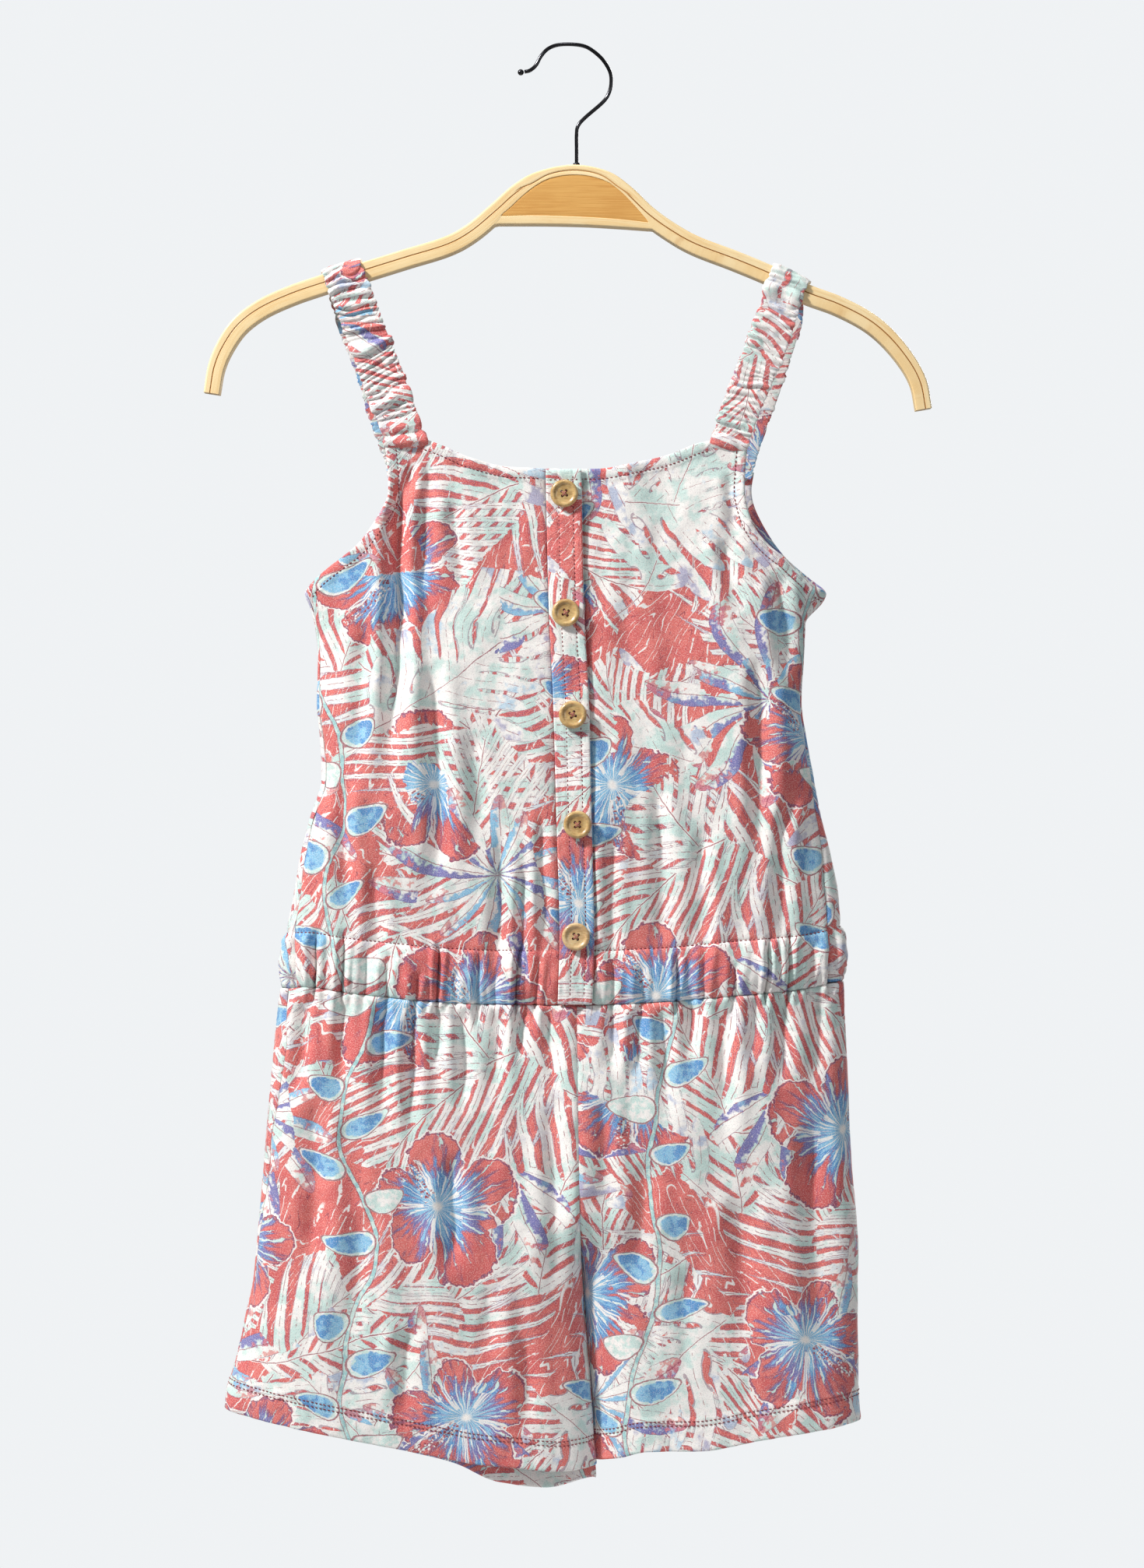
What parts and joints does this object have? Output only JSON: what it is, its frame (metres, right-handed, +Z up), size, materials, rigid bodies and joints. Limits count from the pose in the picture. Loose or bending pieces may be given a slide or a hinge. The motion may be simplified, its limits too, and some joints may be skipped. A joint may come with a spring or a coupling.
{
  "type": "romper on hanger",
  "caption": "Child's sleeveless playsuit with elasticated shoulder straps, buttoned front placket, elastic waist and short legs, hung on a bentwood clothes hanger with a wire hook.",
  "frame": {"origin": "inner apex of the hook's bend, where a rail, peg or nail carries the weight", "axes": "+Z up, the front of the garment towards -Y, +X to the right of someone facing the front (the wearer's left)"},
  "size_m": [0.4203, 0.0509, 0.8377],
  "materials": {
    "printed_cloth": "soft matt jersey with a painted-look tropical print: off-white and mint leaves and blue-violet flowers on coral",
    "horn_button": "semi-gloss imitation horn, olive brown",
    "pale_button": "semi-gloss imitation horn, pale beige",
    "light_wood": "clear satin lacquer on bent light wood",
    "panel_wood": "clear satin lacquer on honey-brown wood",
    "hook_wire": "polished plated steel wire"
  },
  "bodies": {
    "root": {"bodice_front_right": "printed_cloth", "bodice_front_left": "printed_cloth", "bodice_back": "printed_cloth", "placket": "printed_cloth", "shorts_front_right": "printed_cloth", "shorts_front_left": "printed_cloth", "shorts_back_right": "printed_cloth", "shorts_back_left": "printed_cloth", "strap_right": "printed_cloth", "strap_left": "printed_cloth", "button_1": "horn_button", "button_2": "horn_button", "button_3": "horn_button", "button_4": "horn_button", "button_5": "pale_button", "hanger_upper_strip": "light_wood", "hanger_lower_strip": "light_wood", "hanger_panel": "panel_wood", "hook": "hook_wire", "hook_tip": "hook_wire", "hook_collar": "hook_wire"}
  },
  "joints": []
}
